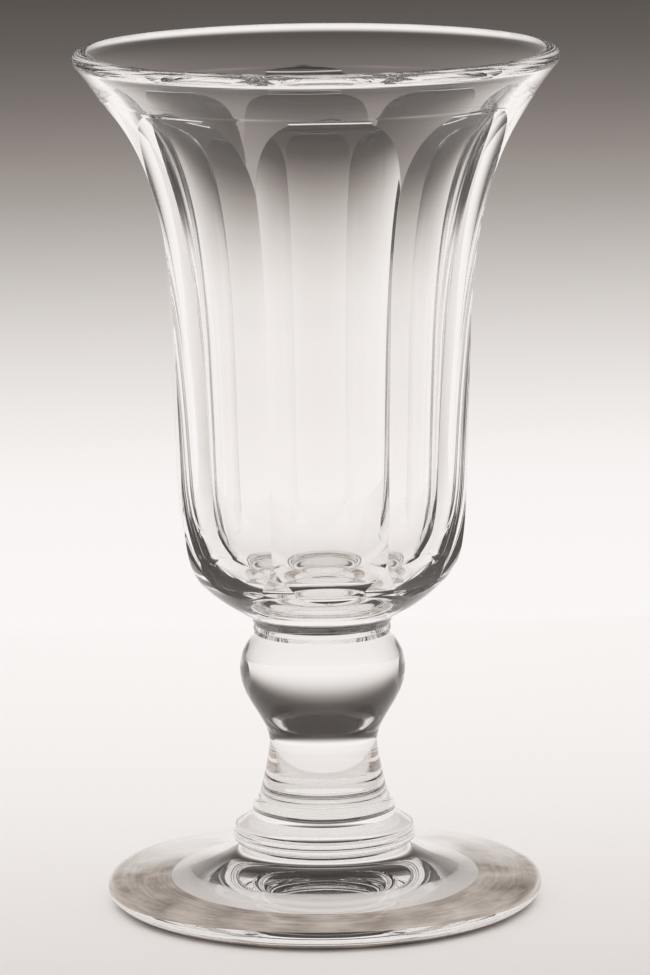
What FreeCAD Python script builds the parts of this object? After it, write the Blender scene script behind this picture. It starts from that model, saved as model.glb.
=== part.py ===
import FreeCAD, Part
import math
import os
import re
import Sketcher

# A footed celery glass: a blown bowl with eight broad cut flutes under a flared lip,
# a solid knopped stem and a thick foot, stuck together hot with small discs between them.
# Millimetres and degrees. The foot rests on the plane z = 0 and the axis is the line x = y = 0.
# Every radius is measured from the axis, and every height from the lowest face of its own piece.
SIZES = (
    # Foot
    ("foot_height", 15.6, "table to the seat of the collar"),
    ("foot_radius", 57.4, "widest point of the rounded edge"),
    ("foot_edge_height", 4.2, "height of the widest point"),
    ("foot_edge_top", 7.2, "height of the plate just inside the rounded edge"),
    ("foot_edge_roll", 3.1, "how far the edge takes to turn over"),
    ("foot_plate_height", 9.5, "height of the plate where it meets the dome"),
    ("foot_dome_radius", 32.0, "where the plate meets the dome"),
    ("foot_seat_radius", 21.8, "flat seat on top of the dome"),
    ("foot_rest_outer", 52.0, "outer edge of the ground ring that touches the table"),
    ("foot_rest_inner", 40.0, "inner edge of that ring"),
    ("foot_hollow", 3.0, "rise of the hollow underside at the pontil"),
    ("pontil_radius", 15.0, "ground and polished pontil mark"),
    ("pontil_rise", 1.0, "depth of the pontil dish above the hollow"),
    # Collar
    ("collar_height", 8.0, "foot seat to the seat of the lower disc"),
    ("collar_radius", 24.1, "edge of the flange"),
    ("collar_lip_height", 0.9, "underside of the flange edge"),
    ("collar_lip_round", 0.7, "bevel under the flange edge"),
    ("collar_ring_height", 3.5, "fine line cut round the flange edge"),
    ("collar_band_height", 5.1, "upper corner of the flange edge"),
    ("collar_line", 0.45, "depth and half height of a fine line"),
    # Lower disc, between collar and stem
    ("foot_wafer_height", 4.9, "collar to stem"),
    ("foot_wafer_radius", 18.9, "bulge of the disc"),
    ("foot_wafer_bulge_height", 1.5, "height of the bulge"),
    # Stem: each reach tells how far a curve keeps its upright run at that end
    ("stem_height", 43.9, "lower disc to upper disc"),
    ("stem_foot_radius", 17.1, "spread foot of the stem"),
    ("stem_foot_draw", 1.0, "how far the spread foot leans in"),
    ("stem_foot_reach", 2.9, "reach above the spread foot"),
    ("stem_waist_radius", 14.17, "narrowest part"),
    ("stem_waist_height", 14.04, "height there"),
    ("stem_waist_under", 1.74, "reach below the waist"),
    ("stem_waist_over", 7.16, "reach above the waist"),
    ("stem_knop_radius", 21.73, "widest part of the knop"),
    ("stem_knop_height", 34.1, "height there"),
    ("stem_knop_under", 8.2, "reach below the knop"),
    ("stem_knop_over", 6.0, "reach above the knop"),
    ("stem_neck_draw", 0.4, "how far the knop leans out above its seat"),
    ("stem_neck_reach", 2.0, "reach below the upper disc"),
    # Upper disc, between stem and bowl
    ("bowl_wafer_height", 2.4, "stem to bowl"),
    ("bowl_wafer_radius", 18.1, "bulge of the disc"),
    ("seat_radius", 17.9, "seats of the upper disc on the stem and in the bowl"),
    # Bowl, outside before cutting
    ("bowl_height", 151.3, "seat to the top of the lip"),
    ("rim_radius", 63.1, "widest point of the lip"),
    ("lip_radius", 2.25, "half the thickness of the lip"),
    ("lip_lean", 41.0, "lean of the wall from upright at the lip"),
    ("lip_reach_out", 27.7, "how far the outer wall keeps that lean"),
    ("collet_radius", 18.9, "short collet under the bowl"),
    ("collet_height", 2.1, "height there"),
    ("base_radius", 27.2, "pull of the underside"),
    ("base_height", 6.1, "height there"),
    ("heel_radius", 33.6, "turn from underside to wall"),
    ("heel_height", 13.2, "height there"),
    ("heel_pull_radius", 36.4, "pull of the wall above that turn"),
    ("heel_pull_height", 18.0, "height there"),
    ("shoulder_radius", 40.8, "pull of the lower wall"),
    ("shoulder_height", 19.5, "height there"),
    ("wall_radius", 41.2, "middle of the wall"),
    ("wall_height", 45.0, "height there"),
    ("neck_radius", 42.0, "wall where the flare begins"),
    ("neck_height", 75.0, "height there"),
    ("throat_radius", 42.6, "pull of the throat"),
    ("throat_height", 95.0, "height there"),
    # Bowl, inside
    ("lip_reach_in", 32.3, "how far the inner wall keeps the lean of the lip"),
    ("cavity_throat_radius", 34.54, "pull of the throat"),
    ("cavity_throat_height", 104.6, "height there"),
    ("cavity_neck_radius", 33.0, "wall where the flare begins"),
    ("cavity_neck_height", 65.0, "height there"),
    ("cavity_wall_radius", 31.93, "wall where the floor begins to round"),
    ("cavity_wall_height", 38.0, "height there"),
    ("cavity_heel_radius", 31.0, "pull of the lower wall"),
    ("cavity_heel_height", 22.0, "height there"),
    ("floor_height", 11.4, "seat to the floor of the cavity"),
    ("floor_pull_radius", 26.0, "pull of the floor outwards"),
    ("floor_radius", 5.0, "level part of the floor"),
    # Cut flutes: how far each flat lies from the axis, or inwards from the rim
    ("flute_foot_radius", 27.8, "flat carried down to the seat"),
    ("flute_heel_radius", 32.4, "flat at the turn of the heel"),
    ("flute_low_radius", 37.3, "pull of the flat above the heel"),
    ("flute_low_height", 20.0, "height there"),
    ("flute_mid_radius", 36.8, "pull of the flat on the lower wall"),
    ("flute_mid_height", 36.0, "height there"),
    ("flute_wall_radius", 37.2, "flat at the middle of the wall"),
    ("flute_neck_radius", 38.26, "flat where the flare begins"),
    ("flute_rise_radius", 38.6, "pull of the flat below the flare"),
    ("flute_rise_height", 86.0, "height there"),
    ("flute_flare_inset", 24.2, "pull of the flat on the flare, inwards from the rim"),
    ("flute_flare_drop", 15.3, "how far that pull lies below the top of the flat"),
    ("flute_top_inset", 8.2, "flat where the wheel stopped, inwards from the rim"),
    ("flute_top_height", 138.1, "height there"),
    ("flute_step", 0.45, "upright step that the wheel left there"),
    ("flute_ledge_rise", 5.1, "climb of the ledge above the step"),
    ("cut_overrun", 3.0, "how far the cut runs past the glass"),
)
FLUTES = 8

# Heights of the seats above the table, each on the piece below it
SEATS = {
    "foot": "0",
    "collar": "foot_height",
    "foot_wafer": "foot_height + collar_height",
    "stem": "foot_height + collar_height + foot_wafer_height",
    "bowl_wafer": "foot_height + collar_height + foot_wafer_height + stem_height",
    "bowl": "foot_height + collar_height + foot_wafer_height + stem_height + bowl_wafer_height",
}

# Outlines, as points (radius, height). A curve leaves for its first point, arrives from the
# one before its last and ends on its last; an arc is given by its centre, its radius and its
# end, and turns anticlockwise.
FOOT_OUTLINE = (
    ("start", ("0", "foot_hollow + pontil_rise")),
    ("curve", ("pontil_radius / 2", "foot_hollow + pontil_rise"), ("pontil_radius", "foot_hollow")),
    ("line", ("foot_rest_inner", "0")),
    ("line", ("foot_rest_outer", "0")),
    (
        "curve",
        ("(2 * foot_radius + foot_rest_outer) / 3", "foot_edge_height / 4"),
        ("foot_radius", "2 * foot_edge_height / 3"),
        ("foot_radius", "foot_edge_height"),
    ),
    (
        "curve",
        ("foot_radius", "(foot_edge_height + 2 * foot_edge_top) / 3"),
        ("foot_radius - foot_edge_roll / 3", "foot_edge_top - foot_edge_roll / 15"),
        ("foot_radius - foot_edge_roll", "foot_edge_top"),
    ),
    ("line", ("foot_dome_radius", "foot_plate_height")),
    (
        "curve",
        (
            "(2 * foot_seat_radius + foot_dome_radius) / 3",
            "foot_plate_height + (foot_dome_radius - foot_seat_radius) / 15",
        ),
        ("foot_seat_radius", "(3 * foot_plate_height + foot_height) / 4"),
        ("foot_seat_radius", "foot_height"),
    ),
    ("line", ("0", "foot_height")),
)
COLLAR_OUTLINE = (
    ("start", ("0", "0")),
    ("line", ("foot_seat_radius", "0")),
    ("line", ("collar_radius - collar_lip_round", "collar_lip_height")),
    ("line", ("collar_radius", "collar_lip_height + collar_lip_round")),
    ("line", ("collar_radius", "collar_ring_height - collar_line")),
    ("line", ("collar_radius - collar_line", "collar_ring_height")),
    ("line", ("collar_radius - collar_line / 2", "collar_ring_height + collar_line")),
    ("line", ("collar_radius - collar_line", "collar_band_height")),
    ("line", ("collar_radius - 2 * collar_line", "collar_band_height")),
    ("line", ("foot_wafer_radius + collar_line", "collar_height - collar_line")),
    ("line", ("foot_wafer_radius", "collar_height")),
    ("line", ("0", "collar_height")),
)
FOOT_WAFER_OUTLINE = (
    ("start", ("0", "0")),
    ("line", ("foot_wafer_radius", "0")),
    (
        "curve",
        ("foot_wafer_radius", "foot_wafer_bulge_height"),
        ("foot_wafer_radius", "2 * foot_wafer_bulge_height"),
        ("stem_foot_radius", "foot_wafer_height"),
    ),
    ("line", ("0", "foot_wafer_height")),
)
STEM_OUTLINE = (
    ("start", ("0", "0")),
    ("line", ("stem_foot_radius", "0")),
    (
        "curve",
        ("stem_foot_radius - stem_foot_draw", "stem_foot_reach"),
        ("stem_waist_radius", "stem_waist_height - stem_waist_under"),
        ("stem_waist_radius", "stem_waist_height"),
    ),
    (
        "curve",
        ("stem_waist_radius", "stem_waist_height + stem_waist_over"),
        ("stem_knop_radius", "stem_knop_height - stem_knop_under"),
        ("stem_knop_radius", "stem_knop_height"),
    ),
    (
        "curve",
        ("stem_knop_radius", "stem_knop_height + stem_knop_over"),
        ("seat_radius + stem_neck_draw", "stem_height - stem_neck_reach"),
        ("seat_radius", "stem_height"),
    ),
    ("line", ("0", "stem_height")),
)
BOWL_WAFER_OUTLINE = (
    ("start", ("0", "0")),
    ("line", ("seat_radius", "0")),
    ("line", ("bowl_wafer_radius", "bowl_wafer_height / 2")),
    ("line", ("seat_radius", "bowl_wafer_height")),
    ("line", ("0", "bowl_wafer_height")),
)
LIP_OUT = (
    "rim_radius - lip_radius + lip_radius * cos(lip_lean)",
    "bowl_height - lip_radius - lip_radius * sin(lip_lean)",
)
LIP_IN = (
    "rim_radius - lip_radius - lip_radius * cos(lip_lean)",
    "bowl_height - lip_radius + lip_radius * sin(lip_lean)",
)
BOWL_OUTLINE = (
    ("start", ("0", "0")),
    ("line", ("seat_radius", "0")),
    ("line", ("collet_radius", "collet_height")),
    ("curve", ("base_radius", "base_height"), ("heel_radius", "heel_height")),
    (
        "curve",
        ("heel_pull_radius", "heel_pull_height"),
        ("shoulder_radius", "shoulder_height"),
        ("wall_radius", "wall_height"),
    ),
    ("line", ("neck_radius", "neck_height")),
    (
        "curve",
        ("throat_radius", "throat_height"),
        (LIP_OUT[0] + " - lip_reach_out * sin(lip_lean)", LIP_OUT[1] + " - lip_reach_out * cos(lip_lean)"),
        LIP_OUT,
    ),
    ("arc", ("rim_radius - lip_radius", "bowl_height - lip_radius"), "lip_radius", LIP_IN),
    (
        "curve",
        (LIP_IN[0] + " - lip_reach_in * sin(lip_lean)", LIP_IN[1] + " - lip_reach_in * cos(lip_lean)"),
        ("cavity_throat_radius", "cavity_throat_height"),
        ("cavity_neck_radius", "cavity_neck_height"),
    ),
    ("line", ("cavity_wall_radius", "cavity_wall_height")),
    (
        "curve",
        ("cavity_heel_radius", "cavity_heel_height"),
        ("floor_pull_radius", "floor_height"),
        ("floor_radius", "floor_height"),
    ),
    ("line", ("0", "floor_height")),
)
FLUTE_OUTLINE = (
    ("start", ("flute_foot_radius", "0")),
    ("line", ("flute_heel_radius", "heel_height")),
    (
        "curve",
        ("flute_low_radius", "flute_low_height"),
        ("flute_mid_radius", "flute_mid_height"),
        ("flute_wall_radius", "wall_height"),
    ),
    ("line", ("flute_neck_radius", "neck_height")),
    (
        "curve",
        ("flute_rise_radius", "flute_rise_height"),
        ("rim_radius - flute_flare_inset", "flute_top_height - flute_flare_drop"),
        ("rim_radius - flute_top_inset", "flute_top_height"),
    ),
    ("line", ("rim_radius - flute_top_inset", "flute_top_height + flute_step")),
    ("line", ("rim_radius + cut_overrun", "flute_top_height + flute_step + flute_ledge_rise")),
    ("line", ("rim_radius + cut_overrun", "0")),
)

doc = FreeCAD.newDocument("CeleryGlass")
sheet = doc.addObject("Spreadsheet::Sheet", "Sizes")
for row, (alias, value, note) in enumerate(SIZES, start=1):
    sheet.set(f"A{row}", alias)
    sheet.set(f"B{row}", str(value))
    sheet.set(f"C{row}", note)
    sheet.setAlias(f"B{row}", alias)
doc.recompute()
ALIASES = {alias for alias, value, note in SIZES}


def bound(formula):
    """The formula with each size named as a cell of the sheet."""
    return re.sub(r"[a-z_]+", lambda word: "Sizes." + word[0] if word[0] in ALIASES else word[0], formula)


def value_of(formula):
    """What the formula comes to now, as a plain number."""
    return float(sheet.evalExpression(bound(formula)))


def origin_plane(body, role):
    return next(plane for plane in body.Origin.OriginFeatures if plane.Role == role)


class Outline:
    """One closed outline on the upright plane of a body, with every point tied to the sheet."""

    def __init__(self, body, name, steps):
        self.sketch = body.newObject("Sketcher::SketchObject", name)
        self.sketch.AttachmentSupport = [(origin_plane(body, "XZ_Plane"), "")]
        self.sketch.MapMode = "FlatFace"
        self.ties = []
        self.ends = []
        here = steps[0][1]
        for step in steps[1:]:
            here = getattr(self, step[0])(here, *step[1:])
        if here != steps[0][1]:
            self.line(here, steps[0][1])
        self.join()
        doc.recompute()
        for place, formula in self.ties:
            self.sketch.setExpression(f"Constraints[{place}]", bound(formula))
        doc.recompute()

    def tie(self, kind, *what, formula=None):
        """Adds one constraint, at the formula's value if it has one."""
        sizes = () if formula is None else (value_of(formula),)
        place = self.sketch.addConstraint(Sketcher.Constraint(kind, *what, *sizes))
        if formula is not None:
            self.ties.append((place, formula))

    def tie_point(self, piece, corner, point):
        """Holds a point of the outline at its radius and its height."""
        for kind, axis, formula in (("DistanceX", -2, point[0]), ("DistanceY", -1, point[1])):
            if formula == "0":
                self.tie("PointOnObject", piece, corner, axis)
            else:
                self.tie(kind, -1, 1, piece, corner, formula=formula)

    def spot(self, point):
        return FreeCAD.Vector(value_of(point[0]), value_of(point[1]), 0)

    def line(self, here, there):
        piece = self.sketch.addGeometry(Part.LineSegment(self.spot(here), self.spot(there)), False)
        self.ends.append((piece, 1, 2, there, None))
        return there

    def curve(self, here, *points):
        """A smooth curve that is pulled towards its points and ends on the last one."""
        poles = [self.spot(point) for point in (here, *points)]
        shape = Part.BSplineCurve(poles, None, None, False, min(3, len(poles) - 1), None, False)
        piece = self.sketch.addGeometry(shape, False)
        for place, point in enumerate((here, *points)):
            mark = Part.Circle(poles[place], FreeCAD.Vector(0, 0, 1), 1)
            handle = self.sketch.addGeometry(mark, True)
            self.tie("InternalAlignment:Sketcher::BSplineControlPoint", handle, 3, piece, place)
            self.tie("Weight", handle, 1.0)
            if 0 < place < len(points):
                self.tie_point(handle, 3, point)
        self.ends.append((piece, 1, 2, points[-1], None))
        return points[-1]

    def arc(self, here, centre, radius, there):
        """An anticlockwise arc, which holds its own two ends on its circle."""
        middle = self.spot(centre)
        angles = [math.atan2((end - middle).y, (end - middle).x) for end in (self.spot(here), self.spot(there))]
        circle = Part.Circle(middle, FreeCAD.Vector(0, 0, 1), value_of(radius))
        piece = self.sketch.addGeometry(Part.ArcOfCircle(circle, *angles), False)
        self.tie_point(piece, 3, centre)
        self.tie("Radius", piece, formula=radius)
        self.ends.append((piece, 1, 2, there, (here, there)))
        return there

    def join(self):
        """Joins each edge to the next and holds each corner once, where no arc holds it."""
        for place, (piece, first, last, there, held) in enumerate(self.ends):
            following, start, _, _, next_held = self.ends[(place + 1) % len(self.ends)]
            self.tie("Coincident", piece, last, following, start)
            if held is None and next_held is None:
                self.tie_point(piece, last, there)
            elif held is not None:
                self.tie("DistanceX", -1, 1, piece, last, formula=there[0])
            else:
                self.tie("DistanceX", -1, 1, following, start, formula=next_held[0][0])


def turned(body, steps):
    """A solid of revolution about the upright axis."""
    outline = Outline(body, body.Name + "_outline", steps)
    turn = body.newObject("PartDesign::Revolution", body.Name + "_turned")
    turn.Profile = outline.sketch
    turn.ReferenceAxis = (outline.sketch, ["V_Axis"])
    turn.Angle = 360
    outline.sketch.Visibility = False
    doc.recompute()
    return turn


def new_body(name):
    """A body of its own, standing on the seat of the piece below."""
    body = doc.addObject("PartDesign::Body", name)
    body.Label = name
    body.Placement = FreeCAD.Placement(FreeCAD.Vector(0, 0, value_of(SEATS[name])), FreeCAD.Rotation())
    body.setExpression(".Placement.Base.z", bound(SEATS[name]))
    return body


def plain_piece(name, steps):
    body = new_body(name)
    turned(body, steps)
    return body


def make_bowl():
    """The blown blank, then one broad flute cut flat across, then its seven copies."""
    body = new_body("bowl")
    blank = turned(body, BOWL_OUTLINE)
    uncut = blank.Shape.Volume
    outline = Outline(body, "flute_outline", FLUTE_OUTLINE)
    flute = body.newObject("PartDesign::Pocket", "flute")
    flute.Profile = outline.sketch
    flute.Type = "Length"
    flute.SideType = "Symmetric"
    flute.setExpression("Length", bound("2 * rim_radius"))
    doc.recompute()
    once = flute.Shape.Volume
    flutes = body.newObject("PartDesign::PolarPattern", "flutes")
    flutes.Originals = [flute]
    flutes.Axis = (outline.sketch, ["V_Axis"])
    flutes.Angle = 360
    flutes.Occurrences = FLUTES
    body.Tip = flutes
    outline.sketch.Visibility = False
    doc.recompute()
    print(f"bowl blank {uncut:.0f}, one flute {uncut - once:.0f}, all flutes {uncut - flutes.Shape.Volume:.0f} mm3")
    if not uncut > once > flutes.Shape.Volume:
        raise ValueError("the flutes cut nothing")
    return body


pieces = [
    plain_piece("foot", FOOT_OUTLINE),
    plain_piece("collar", COLLAR_OUTLINE),
    plain_piece("foot_wafer", FOOT_WAFER_OUTLINE),
    plain_piece("stem", STEM_OUTLINE),
    plain_piece("bowl_wafer", BOWL_WAFER_OUTLINE),
    make_bowl(),
]
doc.recompute()

for item in doc.Objects:
    if "Invalid" in item.State or "Error" in item.State:
        raise ValueError(f"{item.Name} did not compute: {item.State}")
for item in doc.findObjects("Sketcher::SketchObject"):
    if not item.FullyConstrained:
        raise ValueError(f"{item.Name} is not fully dimensioned")
for piece in pieces:
    if piece.Shape.isNull() or not piece.Shape.isValid() or len(piece.Shape.Solids) != 1:
        raise ValueError(f"{piece.Label} is not one sound solid")

os.makedirs("parts", exist_ok=True)
for piece in pieces:
    piece.Shape.exportStep(f"parts/{piece.Label}.step")
    box = piece.Shape.optimalBoundingBox()
    print(f"{piece.Label}: z {box.ZMin:.1f} to {box.ZMax:.1f}, radius {box.XMax:.2f}, {piece.Shape.Volume:.0f} mm3")
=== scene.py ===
import math

import bpy
import numpy as np
from mathutils import Euler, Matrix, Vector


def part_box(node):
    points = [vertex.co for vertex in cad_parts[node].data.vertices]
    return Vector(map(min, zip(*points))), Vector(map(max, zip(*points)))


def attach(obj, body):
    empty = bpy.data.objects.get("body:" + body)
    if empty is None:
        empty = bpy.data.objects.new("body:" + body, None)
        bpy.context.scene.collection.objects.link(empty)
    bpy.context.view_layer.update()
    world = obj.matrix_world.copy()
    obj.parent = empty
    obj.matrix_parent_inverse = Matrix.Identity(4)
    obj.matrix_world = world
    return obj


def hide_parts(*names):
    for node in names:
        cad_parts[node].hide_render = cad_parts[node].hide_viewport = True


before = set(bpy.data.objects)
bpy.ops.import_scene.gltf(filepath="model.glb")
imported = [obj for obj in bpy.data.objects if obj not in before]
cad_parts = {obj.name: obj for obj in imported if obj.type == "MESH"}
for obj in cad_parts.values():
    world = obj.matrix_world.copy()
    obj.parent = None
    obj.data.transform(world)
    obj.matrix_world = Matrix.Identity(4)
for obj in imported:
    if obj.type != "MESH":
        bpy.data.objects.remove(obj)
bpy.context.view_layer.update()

# The glass stands on z = 0 with its axis on x = y = 0, and one flute faces -Y.
# Outlines are in millimetres, as (radius, height above the seat of the piece).
# The frame gives each piece's seat and, to a hundredth, its height and its reach from the axis.
MM = 0.001
BODY = "root"
SEAT = {name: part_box(name)[0].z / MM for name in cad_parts}
HEIGHT = {name: round(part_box(name)[1].z / MM - SEAT[name], 2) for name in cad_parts}
REACH = {name: round(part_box(name)[1].x / MM, 2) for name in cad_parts}

# Photograph: 650 x 975, seen from 1.49 m away and 0.39 m up with a long lens
PHOTO_HEIGHT = 975
CAMERA_REACH = 1.490
CAMERA_HEIGHT = 0.390
CAMERA_TURN = math.radians(-3.5)
CAMERA_DIP = math.radians(10.62)
CAMERA_ROLL = math.radians(-0.62)
CAMERA_YAW = math.radians(0.044)
FOCAL_PIXELS = 5790
SENSOR = 36.0
CLIP_END = 100

# Meshes: points nearer than the first are one, a radius below the second lies on the axis
TOUCHING = 1e-9
ON_AXIS = 1e-4
DECIMALS = 6
SHARP_ANGLE = math.radians(50)


def bezier(points, count=160):
    """Points along the smooth curve that its control points pull."""
    t = np.linspace(0, 1, count)[:, None]
    rows = [np.asarray(point, float) for point in points]
    while len(rows) > 1:
        rows = [a * (1 - t) + b * t for a, b in zip(rows, rows[1:])]
    return rows[0]


def arc(centre, radius, start, end, count=90):
    """Points along an arc between two angles in radians."""
    t = np.linspace(start, end, count)
    return np.column_stack((centre[0] + radius * np.cos(t), centre[1] + radius * np.sin(t)))


def chain(start, *steps, count=60):
    """An outline: a point is a straight run to it, and a list of points pulls a curve to its last one."""
    path = [np.array([start], float)]
    for step in steps:
        here = path[-1][-1]
        path.append(bezier([here, *step]) if isinstance(step, list) else np.linspace(here, step, count)[1:])
    return np.vstack(path)


def softened(path, round_off, step=0.04, spread=3, fewest=8):
    """The outline at an even fine spacing, with its corners worn round."""
    gaps = np.hypot(*np.diff(path, axis=0).T)
    path = path[np.r_[True, gaps > TOUCHING]]
    along = np.r_[0, np.cumsum(np.hypot(*np.diff(path, axis=0).T))]
    even = np.linspace(0, along[-1], max(fewest, int(along[-1] / step)))
    fine = np.column_stack([np.interp(even, along, path[:, k]) for k in (0, 1)])
    reach = int(spread * round_off / step)
    kernel = np.exp(-0.5 * (np.arange(-reach, reach + 1) * step / round_off) ** 2)
    kernel /= kernel.sum()
    before = 2 * fine[0] - fine[1:reach + 1][::-1]
    after = 2 * fine[-1] - fine[-reach - 1:-1][::-1]
    padded = np.vstack((before, fine, after))
    return np.column_stack([np.convolve(padded[:, k], kernel, "valid") for k in (0, 1)])


def thinned(path, turn=math.radians(2.5), longest=2.0):
    """Keeps a point wherever the outline has turned enough or run far enough."""
    kept, turned, run = [0], 0.0, 0.0
    heading = np.unwrap(np.arctan2(*np.diff(path, axis=0).T[::-1]))
    lengths = np.hypot(*np.diff(path, axis=0).T)
    for k in range(1, len(path) - 1):
        turned += abs(heading[k] - heading[k - 1])
        run += lengths[k - 1]
        if turned > turn or run > longest:
            kept.append(k)
            turned = run = 0.0
    kept.append(len(path) - 1)
    return path[kept]


# Foot: polished pontil mark in a hollow, ground ring to stand on, rounded edge, low cone, and a dome
PONTIL_RADIUS, PONTIL_HEIGHT, HOLLOW_HEIGHT = 15.0, 4.0, 3.0
GROUND_INNER, GROUND_OUTER = 40.0, 52.0
FOOT_RADIUS = REACH["foot"]
COLLAR_SEAT = 21.8
FOOT = chain(
    (0, PONTIL_HEIGHT),
    [(PONTIL_RADIUS / 2, PONTIL_HEIGHT), (PONTIL_RADIUS, HOLLOW_HEIGHT)],
    (GROUND_INNER, 0),
    (GROUND_OUTER, 0),
    [(55.6, 1.05), (FOOT_RADIUS, 2.8), (FOOT_RADIUS, 4.2)],
    [(FOOT_RADIUS, 6.2), (56.37, 6.99), (54.3, 7.2)],
    (41, 8.57),
    [(32.5, 9.5), (25.0, 11.0), (COLLAR_SEAT, HEIGHT["foot"])],
)

# Collar: an undercut flange with two fine lines round its edge, and a cone on top
FLANGE, LINE_DEPTH = REACH["collar"], 0.45
WAFER_SEAT = REACH["foot_wafer"]
COLLAR = chain(
    (COLLAR_SEAT, 0), (23.4, 0.9), (FLANGE, 1.6), (FLANGE, 3.05), (FLANGE - LINE_DEPTH, 3.5),
    (23.88, 3.95), (FLANGE - LINE_DEPTH, 5.1), (23.2, 5.1), (19.35, 7.55), (WAFER_SEAT, HEIGHT["collar"]),
)

# The disc under the stem, the stem with its waist and knop, and the disc under the bowl
STEM_SEAT = 17.1
BOWL_SEAT = 17.9
WAIST = 14.17
KNOP = REACH["stem"]
FOOT_WAFER = chain((WAFER_SEAT, 0), [(WAFER_SEAT, 1.5), (WAFER_SEAT, 3.0), (STEM_SEAT, HEIGHT["foot_wafer"])])
STEM = chain(
    (STEM_SEAT, 0),
    [(16.1, 2.9), (WAIST, 12.3), (WAIST, 14.04)],
    [(WAIST, 21.2), (KNOP, 25.9), (KNOP, 34.1)],
    [(KNOP, 40.1), (18.3, 41.9), (BOWL_SEAT, HEIGHT["stem"])],
)
BOWL_WAFER = chain(
    (BOWL_SEAT, 0),
    (REACH["bowl_wafer"], HEIGHT["bowl_wafer"] / 2),
    (BOWL_SEAT, HEIGHT["bowl_wafer"]),
)

# Bowl: the blown blank outside, the cavity inside, and how far each cut flat lies from the axis
LIP_RADIUS = 2.25
LIP_LEAN = math.radians(41)
LIP_CENTRE = np.array((REACH["bowl"] - LIP_RADIUS, HEIGHT["bowl"] - LIP_RADIUS))
LIP_RUN = np.array((math.sin(LIP_LEAN), math.cos(LIP_LEAN)))
LIP_OUT = LIP_CENTRE + LIP_RADIUS * np.array((math.cos(LIP_LEAN), -math.sin(LIP_LEAN)))
LIP_IN = 2 * LIP_CENTRE - LIP_OUT
PULL_OUT, PULL_IN = 27.7, 16.0
INNER_LEAN = math.radians(37)
INNER_RUN = np.array((math.sin(INNER_LEAN), math.cos(INNER_LEAN)))
HEEL_HEIGHT, WALL_START, WALL_END = 13.2, 45, 75
FLOOR_HEIGHT = 11.4
BLANK = chain(
    (BOWL_SEAT, 0),
    (18.9, 2.1),
    [(27.2, 6.1), (33.6, HEEL_HEIGHT)],
    [(36.4, 18.0), (40.8, 19.5), (41.2, WALL_START)],
    (42.0, WALL_END),
    [(42.6, 95), LIP_OUT - PULL_OUT * LIP_RUN, LIP_OUT],
)
CAVITY = chain(
    LIP_IN,
    [LIP_IN - PULL_IN * INNER_RUN, (36.2, 124.5), (32.45, 48)],
    (31.93, 38),
    [(31.0, 22.0), (26.0, FLOOR_HEIGHT), (5.0, FLOOR_HEIGHT)],
    (0, FLOOR_HEIGHT),
)
LIP = arc(LIP_CENTRE, LIP_RADIUS, -LIP_LEAN, math.pi - LIP_LEAN)
FLUTE_TOP, FLUTE_HEIGHT, LEDGE_HEIGHT = 54.9, 138.1, 138.55
FLAT = chain(
    (27.8, 0),
    (32.4, HEEL_HEIGHT),
    [(37.3, 20), (36.8, 36), (37.2, WALL_START)],
    (38.26, WALL_END),
    [(38.6, 86), (38.9, 122.8), (FLUTE_TOP, FLUTE_HEIGHT)],
    (FLUTE_TOP, LEDGE_HEIGHT),
    (66.1, 143.65),
)
FLUTES = 8
HALF_FLUTE = math.pi / FLUTES

# How far worn edges are rounded: on turned pieces, on the collar, on the bowl, and between two flutes
TURNED_ROUND = 0.12
COLLAR_ROUND = 0.35
BOWL_ROUND = 0.15
EDGE_ROUND = 0.01
BLANK_FINE = softened(BLANK, BOWL_ROUND)
FLAT_FINE = softened(FLAT, BOWL_ROUND)


def outside_radius(angle, heights):
    """The outside of the bowl at angles from a flute's middle (row by row) and the given heights."""
    blank = np.interp(heights, BLANK_FINE[:, 1], BLANK_FINE[:, 0])[:, None]
    flat = np.interp(heights, FLAT_FINE[:, 1], FLAT_FINE[:, 0])[:, None]
    sides = np.stack(np.broadcast_arrays(
        blank, flat / np.cos(angle), flat / np.cos(2 * HALF_FLUTE - angle)))
    nearest = sides.min(axis=0)
    return nearest - EDGE_ROUND * np.log(np.exp((nearest - sides) / EDGE_ROUND).sum(axis=0))


def mesh_piece(name, points, faces, seams, glass, slot):
    """A piece of glass that stands for its CAD node. The seams are the faces stuck to the next piece."""
    mesh = bpy.data.meshes.new(name + "_glass")
    mesh.from_pydata((points * MM).tolist(), [], [face.tolist() for face in (*faces, *seams)])
    mesh.materials.append(glass)
    mesh.materials.append(SEAM)
    marks = np.zeros(len(faces) + len(seams), np.int32)
    marks[len(faces):] = 1
    mesh.polygons.foreach_set("material_index", marks)
    mesh.polygons.foreach_set("use_smooth", marks == 0)
    mesh.set_sharp_from_angle(angle=SHARP_ANGLE)
    mesh.update()
    piece = bpy.data.objects.new(name + "_glass", mesh)
    bpy.context.scene.collection.objects.link(piece)
    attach(piece, BODY)
    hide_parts(name)
    return piece


def ring_faces(rows, columns):
    """Quads between neighbouring rows of a grid that closes on itself, as numbers of its points."""
    row, column = np.meshgrid(np.arange(rows - 1), np.arange(columns), indexing="ij")
    after = (column + 1) % columns
    quads = np.stack((row * columns + column, row * columns + after,
                      (row + 1) * columns + after, (row + 1) * columns + column), axis=-1)
    return quads.reshape(-1, 4)


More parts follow.
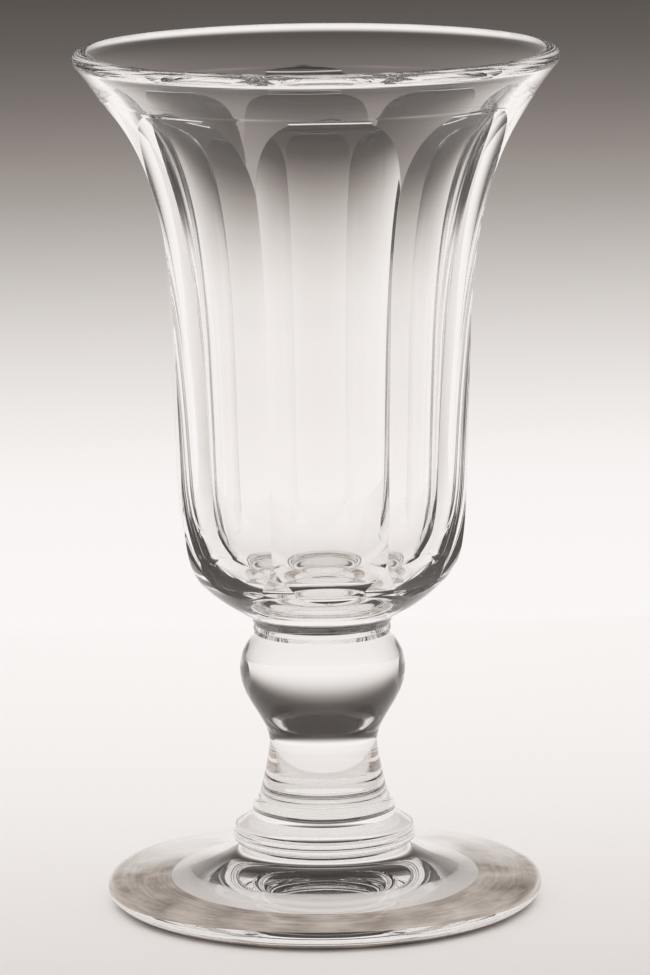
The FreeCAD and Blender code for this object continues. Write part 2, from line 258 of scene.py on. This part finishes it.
def closed_grid(grid, caps):
    """Joins equal points, drops what has no area, and closes the chosen end rows with a disc."""
    rows, columns = grid.shape[:2]
    points, number = np.unique(grid.reshape(-1, 3).round(DECIMALS), axis=0, return_inverse=True)
    number = number.reshape(-1)
    faces = []
    for face in number[ring_faces(rows, columns)]:
        corners = [face[k] for k in range(4) if face[k] != face[k - 1]]
        if len(corners) > 2:
            faces.append(np.array(corners))
    seams = []
    for row in caps:
        rim = number.reshape(rows, columns)[row]
        rim = rim[rim != np.roll(rim, 1)]
        points = np.vstack((points, (0, 0, grid[row, 0, 2])))
        middle = len(points) - 1
        for a, b in zip(rim, np.roll(rim, -1)):
            seams.append(np.array((b, a, middle) if row == 0 else (a, b, middle)))
    return points, faces, seams


def turned_piece(name, outline, glass, slot, caps, round_off=TURNED_ROUND, columns=256):
    """A piece turned about the axis, with softened corners."""
    path = thinned(softened(outline, round_off))
    angles = np.linspace(0, 2 * math.pi, columns, endpoint=False)
    radius = np.where(path[:, :1] < ON_AXIS, 0, path[:, :1])
    grid = np.stack((radius * np.cos(angles), radius * np.sin(angles),
                     np.broadcast_to(path[:, 1:] + SEAT[name], (len(path), columns))), axis=-1)
    return mesh_piece(name, *closed_grid(grid, caps), glass, slot)


# Rows of the bowl's mesh lie closer where a flute begins and ends: how far that goes, where the wall between
# them starts and ends, and how many rows each stretch has
FIRST_BAND, LAST_BAND = 1.8, 3.0
HEEL_TOP, FLARE_START = 24, 110
ROWS = {"below": 18, "first": 18, "heel": 24, "wall": 36, "flare": 30, "last": 20, "rim": 16}


def bowl_heights():
    """Heights of the rows outside: dense where a flute begins and ends."""
    depth = BLANK_FINE[:, 0] - np.interp(BLANK_FINE[:, 1], FLAT_FINE[:, 1], FLAT_FINE[:, 0])
    cut = BLANK_FINE[depth > 0, 1]
    low, high = cut.min(), cut.max()
    return np.unique(np.concatenate((
        np.linspace(0, low, ROWS["below"]),
        low + FIRST_BAND * np.linspace(0, 1, ROWS["first"]) ** 2,
        np.linspace(low + FIRST_BAND, HEEL_TOP, ROWS["heel"]),
        np.linspace(HEEL_TOP, FLARE_START, ROWS["wall"]),
        np.linspace(FLARE_START, high - LAST_BAND, ROWS["flare"]),
        high - LAST_BAND * np.linspace(1, 0, ROWS["last"]) ** 2,
        np.linspace(high, LIP_OUT[1], ROWS["rim"]),
    )))


def bowl_piece(glass, slot, steps=12, crowd=2.2):
    """The bowl: columns follow the edge between each flute and the uncut glass beside it."""
    heights = bowl_heights()
    blank = np.interp(heights, BLANK_FINE[:, 1], BLANK_FINE[:, 0])
    flat = np.interp(heights, FLAT_FINE[:, 1], FLAT_FINE[:, 0])
    edge = np.arccos(np.clip(flat / blank, math.cos(HALF_FLUTE), 1))
    inner = thinned(np.vstack((LIP, CAVITY[1:])), turn=math.radians(5))[1:]
    edge = np.r_[edge, np.zeros(len(inner))][:, None]
    within = 1 - (1 - np.linspace(0, 1, steps + 1)) ** crowd
    beyond = np.linspace(0, 1, steps + 1)[1:] ** crowd
    half = np.hstack((edge * within, edge + (HALF_FLUTE - edge) * beyond))
    sector = np.hstack((-half[:, :0:-1], half[:, :-1]))
    radius = np.vstack((
        outside_radius(np.abs(sector[:len(heights)]), heights),
        np.broadcast_to(inner[:, :1], (len(inner), sector.shape[1]))))
    height = np.r_[heights, inner[:, 1]] + SEAT["bowl"]
    rings = []
    for k in range(FLUTES):
        angle = sector + 2 * HALF_FLUTE * k - math.pi / 2
        rings.append(np.stack((radius * np.cos(angle), radius * np.sin(angle),
                               np.broadcast_to(height[:, None], radius.shape)), axis=-1))
    return mesh_piece("bowl", *closed_grid(np.concatenate(rings, axis=1), [0]), glass, slot)


def screen_colour(red, green, blue):
    """A colour as it shows on a screen, from 0 to 255, made linear."""
    def linear(level):
        share = level / 255
        return share / 12.92 if share <= 0.04045 else ((share + 0.055) / 1.055) ** 2.4
    return linear(red), linear(green), linear(blue), 1.0


class Shader:
    """The nodes of one material, or of the world."""

    def __init__(self, owner, output="OutputMaterial"):
        owner.use_nodes = True
        self.owner = owner
        self.nodes, self.links = owner.node_tree.nodes, owner.node_tree.links
        self.nodes.clear()
        self.out = self.add(output)

    def feed(self, socket, value):
        """Links a socket to another node's output, or sets it where the value is a plain one."""
        if isinstance(value, bpy.types.NodeSocket):
            self.links.new(value, socket)
        else:
            socket.default_value = value

    def add(self, kind, **sockets):
        """One node, with the inputs that are named here."""
        made = self.nodes.new("ShaderNode" + kind)
        for name, value in sockets.items():
            self.feed(made.inputs[name.replace("_", " ")], value)
        return made

    def maths(self, operation, *values, kind="Math"):
        """One step of arithmetic on numbers, or on vectors."""
        made = self.nodes.new("ShaderNode" + kind)
        made.operation = operation
        for socket, value in zip(made.inputs, values):
            self.feed(socket, value)
        return made.outputs["Value"]

    def mix(self, share, first, second):
        """Blends two shaders."""
        made = self.nodes.new("ShaderNodeMixShader")
        for socket, value in zip(made.inputs, (share, first.outputs[0], second.outputs[0])):
            self.feed(socket, value)
        return made

    def tint(self, share, first, second):
        """Blends two colours."""
        made = self.nodes.new("ShaderNodeMix")
        made.data_type = "RGBA"
        colours = [socket for socket in made.inputs if socket.type == "RGBA"]
        for socket, value in zip((made.inputs[0], *colours), (share, first, second)):
            self.feed(socket, value)
        return next(socket for socket in made.outputs if socket.type == "RGBA")

    def ramp(self, share, stops, highest=1.0, interpolation="LINEAR"):
        """Colours along a scale, given as (place, colour) from the lowest place to the highest."""
        made = self.add("ValToRGB", Fac=share)
        made.color_ramp.interpolation = interpolation
        elements = made.color_ramp.elements
        for element, (place, colour) in zip((elements[0], elements[1]), (stops[0], stops[-1])):
            element.position, element.color = place / highest, colour
        for place, colour in stops[1:-1]:
            elements.new(place / highest).color = colour
        return made.outputs["Color"]

    def finish(self, surface):
        """Sends a shader to the output, and gives back the finished material or world."""
        self.links.new(surface.outputs[0], self.out.inputs["Surface"])
        return self.owner


WHITE = (1, 1, 1, 1)


def seam_material():
    """Where two pieces were stuck together hot the glass runs through, so nothing shows."""
    shader = Shader(bpy.data.materials.new("seam"))
    return shader.finish(shader.add("BsdfTransparent", Color=WHITE))


SEAM = seam_material()

# Flint glass: its index and sheen, wear in its polish, ripples from blowing (how close, and how deep in
# metres), and the tints of the glass and of its shadow
GLASS_INDEX = 1.55
SHEEN = (0.5, 0.5, 0.5, 1)
POLISH_SCALE, POLISH_WEAR = 400.0, 0.012
POLISH_LOW, POLISH_HIGH = 0.35, 0.75
TOOLED_RIPPLE, BLOWN_RIPPLE = (60.0, 0.00003), (40.0, 0.00001)
FOOT_TINT = (1.0, 0.998, 0.996, 1)
FLINT_TINT = (1.0, 0.996, 0.992, 1)
PALE_SHADOW = (0.93, 0.92, 0.915, 1)


def glass_material(name, tint, shadow, ripple):
    """Flint glass: a faint tint, slow ripples from blowing and fine wear in its polish."""
    ripple_scale, ripple_depth = ripple
    shader = Shader(bpy.data.materials.new(name))
    place = shader.add("TexCoord").outputs["Object"]
    slow = shader.add("TexNoise", Vector=place, Scale=ripple_scale, Detail=2.0, Roughness=0.4)
    fine = shader.add("TexNoise", Vector=place, Scale=POLISH_SCALE, Detail=3.0, Roughness=0.5)
    wear = shader.add("MapRange", Value=fine.outputs["Fac"], From_Min=POLISH_LOW, From_Max=POLISH_HIGH,
                      To_Min=0.0, To_Max=POLISH_WEAR)
    bump = shader.add("Bump", Height=slow.outputs["Fac"], Strength=1.0, Distance=ripple_depth)
    glass = shader.add("BsdfPrincipled", Base_Color=tint, Roughness=wear.outputs["Result"], IOR=GLASS_INDEX,
                       Normal=bump.outputs["Normal"], Transmission_Weight=1.0, Specular_Tint=SHEEN)
    clear = shader.add("BsdfTransparent", Color=shadow)
    ray = shader.add("LightPath").outputs
    soft = shader.maths("MAXIMUM", ray["Is Shadow Ray"], ray["Is Diffuse Ray"])
    return shader.finish(shader.mix(soft, glass, clear))


# The ground ring underneath is grey with wear; from here to there, in metres, it is painted paler towards the
# back, painted light for the table's light showing through the ground glass
WORN_DARK = screen_colour(128, 114, 104)
WORN_PALE = screen_colour(214, 202, 192)
# painted light: the pale back of the ring, where light from the table shows through the ground glass
PAINTED_LIT_BACK = screen_colour(236, 232, 229)
LIT_BACK_START, LIT_BACK_END, LIT_BACK_RAGGED = 0.03, 0.07, 0.06
SCRATCH_SCALE, SCRATCH_LENGTH = 900.0, 0.004
PATCH_SCALE = 70.0
SCRATCH_SHARE, PATCH_SHARE = 0.4, 0.6
DARK_LEVEL, PALE_LEVEL = 0.34, 0.66
WEAR_REACH, WEAR_HEIGHT = 56.2, 1.6


def ground_material():
    """Ground glass: scratched round and round, with patches, and painted paler towards the back behind a
    ragged edge, as painted light through the glass.
    """
    shader = Shader(bpy.data.materials.new("ground_ring"))
    place = shader.add("TexCoord").outputs["Object"]
    parts = shader.add("SeparateXYZ", Vector=place).outputs
    radius = shader.maths("LENGTH", place, kind="VectorMath")
    angle = shader.maths("ARCTAN2", parts["X"], parts["Y"])
    around = shader.add("CombineXYZ", X=radius, Y=shader.maths("MULTIPLY", angle, SCRATCH_LENGTH))
    scratches = shader.add("TexNoise", Vector=around.outputs[0], Scale=SCRATCH_SCALE, Detail=4.0,
                           Roughness=0.65).outputs["Fac"]
    patches = shader.add("TexNoise", Vector=place, Scale=PATCH_SCALE, Detail=3.0).outputs["Fac"]
    patched = shader.maths("MULTIPLY", patches, PATCH_SHARE)
    wear = shader.maths("MULTIPLY_ADD", scratches, SCRATCH_SHARE, patched)
    worn = shader.ramp(wear, ((DARK_LEVEL, WORN_DARK), (PALE_LEVEL, WORN_PALE)))
    ragged = shader.maths("MULTIPLY_ADD", patches, LIT_BACK_RAGGED, parts["Y"])
    # painted light: the ring turns paler towards the back, with a ragged edge
    lit_back = shader.add("MapRange", Value=ragged, From_Min=LIT_BACK_START, From_Max=LIT_BACK_END)
    bump = shader.add("Bump", Height=scratches, Strength=0.4, Distance=0.0001)
    return shader.finish(shader.add(
        "BsdfPrincipled", Base_Color=shader.tint(lit_back.outputs["Result"], worn, PAINTED_LIT_BACK),
        Normal=bump.outputs["Normal"], Roughness=0.6, IOR=GLASS_INDEX))


def grind(piece):
    """Gives the ring underneath its ground face, which runs a little way up the rounded edge."""
    mesh = piece.data
    mesh.materials.append(ground_material())
    ground = len(mesh.materials) - 1
    for face in mesh.polygons:
        reach = math.hypot(face.center.x, face.center.y) / MM
        if face.center.z < WEAR_HEIGHT * MM and GROUND_INNER < reach < WEAR_REACH:
            face.material_index = ground


def stage_sheet(name, points, faces, material, smooth=False):
    """A sheet of the stage, which is no part of the glass."""
    mesh = bpy.data.meshes.new(name)
    mesh.from_pydata(points, [], faces)
    mesh.materials.append(material)
    mesh.polygons.foreach_set("use_smooth", [smooth] * len(faces))
    sheet = bpy.data.objects.new(name, mesh)
    bpy.context.scene.collection.objects.link(sheet)


# The pool of light on the floor: distance from its middle in metres, and the floor's colour there
POOL_BACK = 0.43
POOL = (
    (0.00, screen_colour(250, 247, 246)),
    (0.33, screen_colour(240, 236, 234)),
    (0.45, screen_colour(232, 227, 224)),
    (0.59, screen_colour(216, 211, 208)),
    (0.91, screen_colour(173, 167, 163)),
    (1.33, screen_colour(127, 120, 116)),
    (1.90, screen_colour(88, 83, 79)),
    (2.40, screen_colour(70, 66, 63)),
)
FLOOR_REACH = 12.0
FLOOR_DROP = 0.00005
TOOTH_SCALE = 900.0


def floor_material():
    """Matt paper, brightest a little behind the glass, with a fine tooth."""
    shader = Shader(bpy.data.materials.new("floor_paper"))
    place = shader.add("TexCoord").outputs["Object"]
    shift = shader.add("Mapping", Vector=place, Location=(0, -POOL_BACK, 0))
    reach = shader.maths("LENGTH", shift.outputs["Vector"], kind="VectorMath")
    farthest = POOL[-1][0]
    share = shader.maths("DIVIDE", reach, farthest)
    tooth = shader.add("TexNoise", Vector=place, Scale=TOOTH_SCALE, Detail=3.0)
    bump = shader.add("Bump", Height=tooth.outputs["Fac"], Strength=0.05, Distance=0.0002)
    return shader.finish(shader.add(
        "BsdfPrincipled", Base_Color=shader.ramp(share, POOL, farthest, "B_SPLINE"),
        Normal=bump.outputs["Normal"], Roughness=0.9, Specular_IOR_Level=0.0))


def make_floor():
    """A wide sheet of paper just under the ground ring."""
    sides = ((-1, -1), (1, -1), (1, 1), (-1, 1))
    corners = [(x * FLOOR_REACH, y * FLOOR_REACH, -FLOOR_DROP) for x, y in sides]
    stage_sheet("floor", corners, [(0, 1, 2, 3)], floor_material())


# A sheet that sweeps up behind the glass: height up it in metres, and its colour there, pale at the floor and
# darker upwards, a painted falloff of light
SWEEP_START, SWEEP_ROUND, SWEEP_TOP, SWEEP_HALF = 0.35, 0.15, 1.5, 0.8
SWEEP_STEPS = 49
SWEEP = (
    (0.000, screen_colour(250, 247, 246)),
    (0.029, screen_colour(248, 244, 243)),
    (0.040, screen_colour(244, 240, 238)),
    (0.054, screen_colour(236, 232, 229)),
    (0.070, screen_colour(225, 220, 217)),
    (0.086, screen_colour(210, 205, 201)),
    (0.102, screen_colour(191, 186, 181)),
    (0.119, screen_colour(168, 162, 157)),
    (0.136, screen_colour(146, 138, 133)),
    (0.153, screen_colour(123, 116, 112)),
    (0.171, screen_colour(103, 97, 93)),
    (0.188, screen_colour(89, 84, 80)),
    (0.260, screen_colour(72, 67, 64)),
    (0.600, screen_colour(62, 58, 56)),
)


def sweep_material():
    """A backdrop that shows as it is painted, pale below and darker upwards as painted shade, throws no light
    of its own, and is clear from behind.
    """
    shader = Shader(bpy.data.materials.new("sweep_paper"))
    place = shader.add("TexCoord").outputs["Object"]
    height = shader.add("SeparateXYZ", Vector=place).outputs["Z"]
    highest = SWEEP[-1][0]
    level = shader.add("MapRange", Value=height, From_Min=0.0, From_Max=highest)
    # painted shade: the backdrop darkens with height, where the light falls off
    paint = shader.add("Emission", Color=shader.ramp(level.outputs["Result"], SWEEP, highest), Strength=1.0)
    clear = shader.add("BsdfTransparent", Color=WHITE)
    ray = shader.add("LightPath").outputs
    behind = shader.add("NewGeometry").outputs["Backfacing"]
    unseen = shader.maths("MAXIMUM", behind, ray["Is Shadow Ray"])
    unseen = shader.maths("MAXIMUM", unseen, ray["Is Diffuse Ray"])
    return shader.finish(shader.mix(unseen, paint, clear))


def make_sweep():
    """Floor level, then a quarter turn upwards, then straight up."""
    turn = np.linspace(0, math.pi / 2, SWEEP_STEPS)
    back = np.r_[SWEEP_START + SWEEP_ROUND * np.sin(turn), SWEEP_START + SWEEP_ROUND]
    up = np.r_[SWEEP_ROUND * (1 - np.cos(turn)), SWEEP_TOP]
    rows = len(up)
    points = [(side * SWEEP_HALF, y, z) for side in (-1, 1) for y, z in zip(back, up)]
    faces = [(k, k + rows, k + rows + 1, k + 1) for k in range(rows - 1)]
    stage_sheet("sweep", points, faces, sweep_material(), smooth=True)


# The dim room above the floor: how far up, as the upward part of the direction, and its colour
ROOM = (
    (-1.0, screen_colour(235, 231, 228)),
    (0.0, screen_colour(76, 71, 68)),
    (0.35, screen_colour(66, 61, 58)),
    (1.0, screen_colour(60, 56, 54)),
)


def make_world():
    """An even pale light for the floor, and the dim room that the glass and the camera look into."""
    world = bpy.data.worlds.new("studio")
    shader = Shader(world, "OutputWorld")
    place = shader.add("TexCoord").outputs["Generated"]
    up = shader.add("SeparateXYZ", Vector=place).outputs["Z"]
    level = shader.add("MapRange", Value=up, From_Min=-1.0, From_Max=1.0)
    colours = [((height + 1) / 2, colour) for height, colour in ROOM]
    room = shader.add("Background", Color=shader.ramp(level.outputs["Result"], colours), Strength=1.0)
    dome = shader.add("Background", Color=WHITE, Strength=1.0)
    ray = shader.add("LightPath").outputs
    seen = shader.maths("MAXIMUM", ray["Is Camera Ray"], ray["Is Glossy Ray"])
    seen = shader.maths("MAXIMUM", seen, ray["Is Transmission Ray"])
    shader.finish(shader.mix(seen, dome, room))
    bpy.context.scene.world = world


def make_camera():
    """A long lens, aimed a little down and rolled by the lean of the photographed glass."""
    data = bpy.data.cameras.new("camera")
    data.sensor_width = SENSOR
    data.lens = FOCAL_PIXELS / PHOTO_HEIGHT * SENSOR
    data.clip_end = CLIP_END
    camera = bpy.data.objects.new("camera", data)
    camera.location = (CAMERA_REACH * math.sin(CAMERA_TURN), -CAMERA_REACH * math.cos(CAMERA_TURN),
                       CAMERA_HEIGHT)
    aim = Euler((math.pi / 2 - CAMERA_DIP, 0, CAMERA_TURN - CAMERA_YAW)).to_matrix()
    roll = Euler((0, 0, CAMERA_ROLL)).to_matrix()
    camera.rotation_euler = (aim @ roll).to_euler()
    bpy.context.scene.collection.objects.link(camera)
    bpy.context.scene.camera = camera


# Light passes many walls of the glass on its way
BOUNCES = 32
scene = bpy.context.scene
scene.view_settings.view_transform = "Standard"
for limit in ("max_bounces", "glossy_bounces", "transmission_bounces", "transparent_max_bounces"):
    setattr(scene.cycles, limit, BOUNCES)

FOOT_GLASS = glass_material("foot_flint", FOOT_TINT, FOOT_TINT, TOOLED_RIPPLE)
STEM_GLASS = glass_material("flint_glass", FLINT_TINT, PALE_SHADOW, TOOLED_RIPPLE)
BOWL_GLASS = glass_material("bowl_flint", FLINT_TINT, PALE_SHADOW, BLOWN_RIPPLE)
grind(turned_piece("foot", FOOT, FOOT_GLASS, "foot_glass", [-1]))
turned_piece("collar", COLLAR, STEM_GLASS, "stem_glass", [0, -1], COLLAR_ROUND)
turned_piece("foot_wafer", FOOT_WAFER, STEM_GLASS, "stem_glass", [0, -1])
turned_piece("stem", STEM, STEM_GLASS, "stem_glass", [0, -1])
turned_piece("bowl_wafer", BOWL_WAFER, STEM_GLASS, "stem_glass", [0, -1])
bowl_piece(BOWL_GLASS, "bowl_glass")
make_floor()
make_sweep()
make_world()
make_camera()
